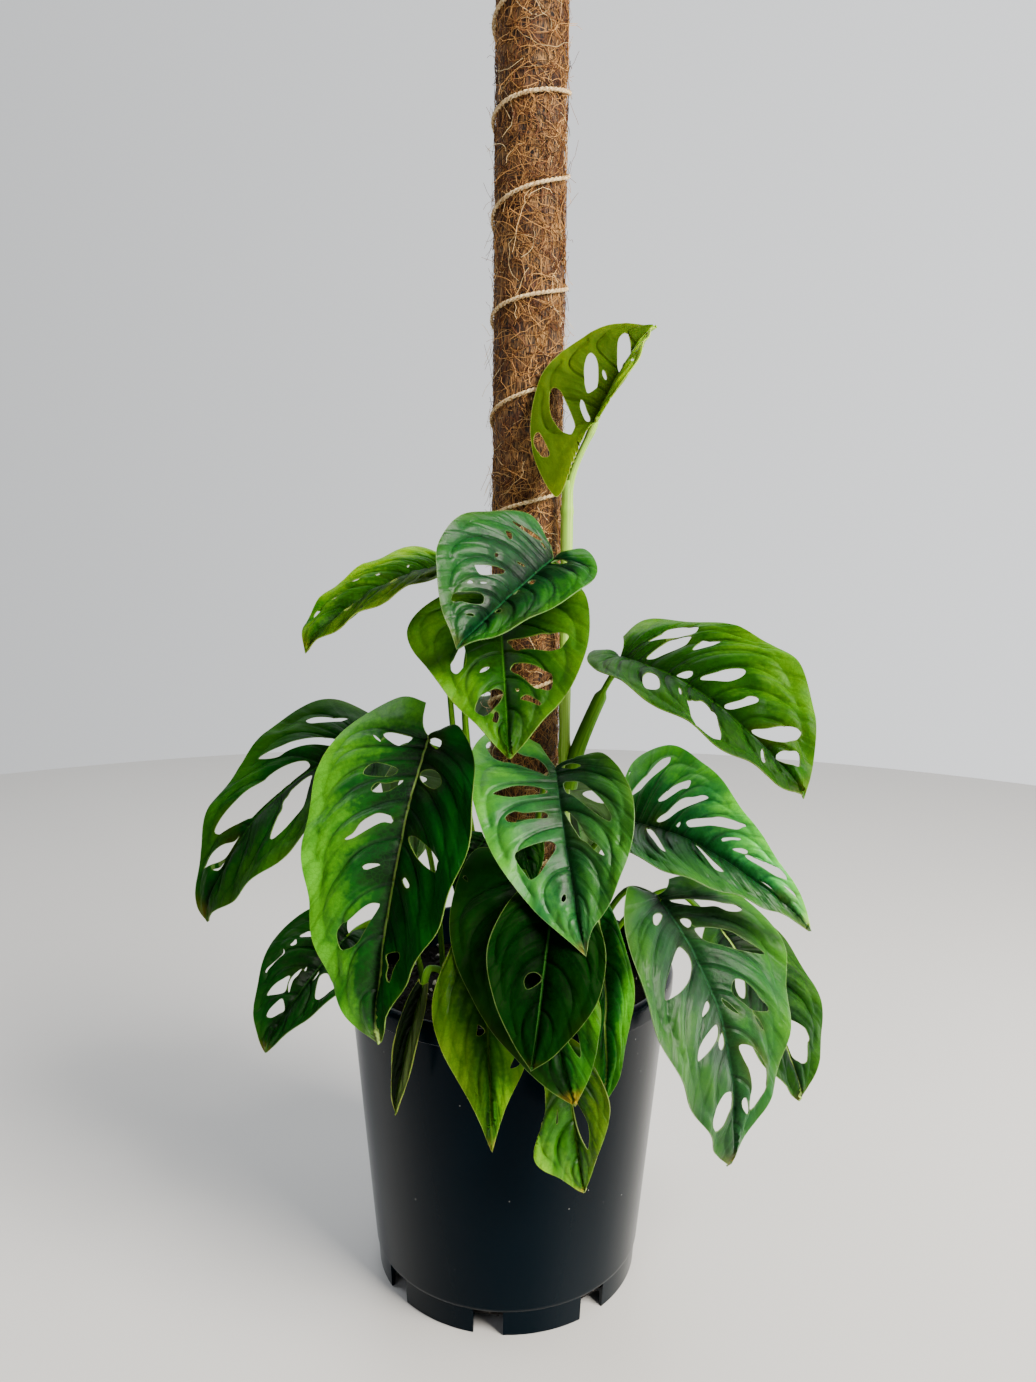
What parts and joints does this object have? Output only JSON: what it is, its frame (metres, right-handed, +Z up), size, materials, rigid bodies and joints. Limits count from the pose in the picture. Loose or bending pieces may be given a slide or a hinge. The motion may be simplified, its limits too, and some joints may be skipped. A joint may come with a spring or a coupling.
{
  "type": "potted swiss cheese vine",
  "caption": "Climbing aroid house plant with pierced, heart-shaped leaves on long stalks, a coir-wrapped pole bound with twine, and a dark round nursery pot filled with potting mix.",
  "frame": {"origin": "middle of the bottom of the whole plant's box, on the plane that the pot stands on", "axes": "+Z up along the pole, -Y towards the side of the plant that the picture shows, +X to its right"},
  "size_m": [0.3681, 0.2797, 0.748],
  "materials": {
    "pot_plastic": "satin, dark blue-black",
    "potting_mix": "loose dark potting mix",
    "coir": "matted brown coconut fibre",
    "jute": "twisted pale twine",
    "stem_green": "smooth pale green",
    "leaf_young": "soft yellow-green",
    "leaf_bright_green": "satin bright green",
    "leaf_mature": "satin deep green"
  },
  "bodies": {
    "root": {"pot": "pot_plastic", "soil": "potting_mix", "coir_pole": "coir", "jute_twine": "jute", "stem_climbing": "stem_green", "stem_left": "stem_green", "leaf_top": "leaf_young", "leaf_upper": "leaf_mature", "leaf_bright": "leaf_bright_green", "leaf_far_left": "leaf_bright_green", "leaf_upper_right": "leaf_bright_green", "leaf_outer_left": "leaf_mature", "leaf_large": "leaf_bright_green", "leaf_centre": "leaf_mature", "leaf_mid_right": "leaf_mature", "leaf_low_right": "leaf_mature", "leaf_behind_right": "leaf_mature", "leaf_low_left": "leaf_mature", "leaf_olive": "leaf_bright_green", "leaf_long_front": "leaf_mature", "leaf_small_front": "leaf_mature", "leaf_narrow_right": "leaf_mature", "leaf_lowest": "leaf_mature", "leaf_curled_left": "leaf_mature", "leaf_young_left": "leaf_mature", "leaf_young_right": "leaf_mature", "leaf_back_left": "leaf_mature", "leaf_back_right": "leaf_mature", "leaf_back_middle": "leaf_mature"}
  },
  "joints": []
}
